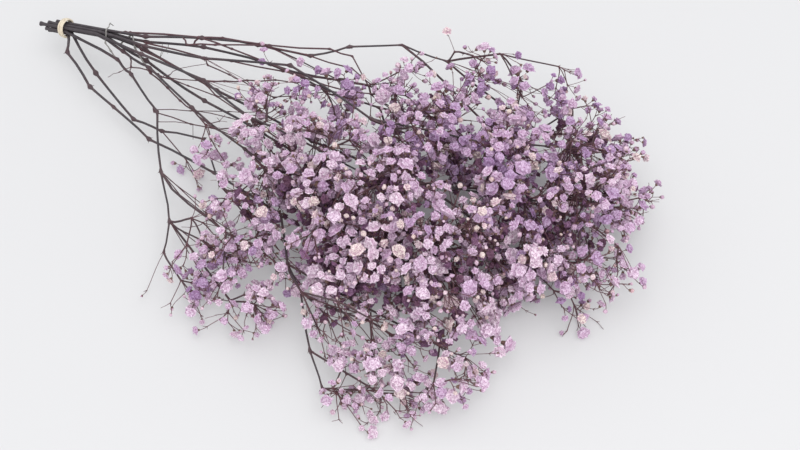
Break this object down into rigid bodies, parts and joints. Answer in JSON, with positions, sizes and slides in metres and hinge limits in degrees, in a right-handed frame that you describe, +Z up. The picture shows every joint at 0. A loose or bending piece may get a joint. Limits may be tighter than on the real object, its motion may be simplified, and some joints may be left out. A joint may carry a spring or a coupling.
{
  "type": "tied bunch of preserved gypsophila stems",
  "caption": "Bunch of dyed, preserved gypsophila stems lying on its side, tied near the cut ends with an elastic band, with finely forked twigs that end in small ruffled blooms.",
  "frame": {"origin": "under the middle of the bunch, on the surface that it lies on", "axes": "+X along the bunch from the cut ends to the flower heads, +Z up from the surface"},
  "size_m": [0.4924, 0.3212, 0.1057],
  "materials": {
    "elastic": "cream elastic, satin",
    "dyed stem and petals": "lilac dyed petals, matt, on dark plum-brown stems"
  },
  "bodies": {
    "root": {"elastic_band": "elastic", "stem_far_arch": "dyed stem and petals", "stem_far_low": "dyed stem and petals", "stem_far_mid": "dyed stem and petals", "stem_far_tip": "dyed stem and petals", "stem_heart": "dyed stem and petals", "stem_near_foot": "dyed stem and petals", "stem_near_low": "dyed stem and petals", "stem_near_mid": "dyed stem and petals", "stem_near_top": "dyed stem and petals", "stem_top_mid": "dyed stem and petals"}
  },
  "joints": []
}
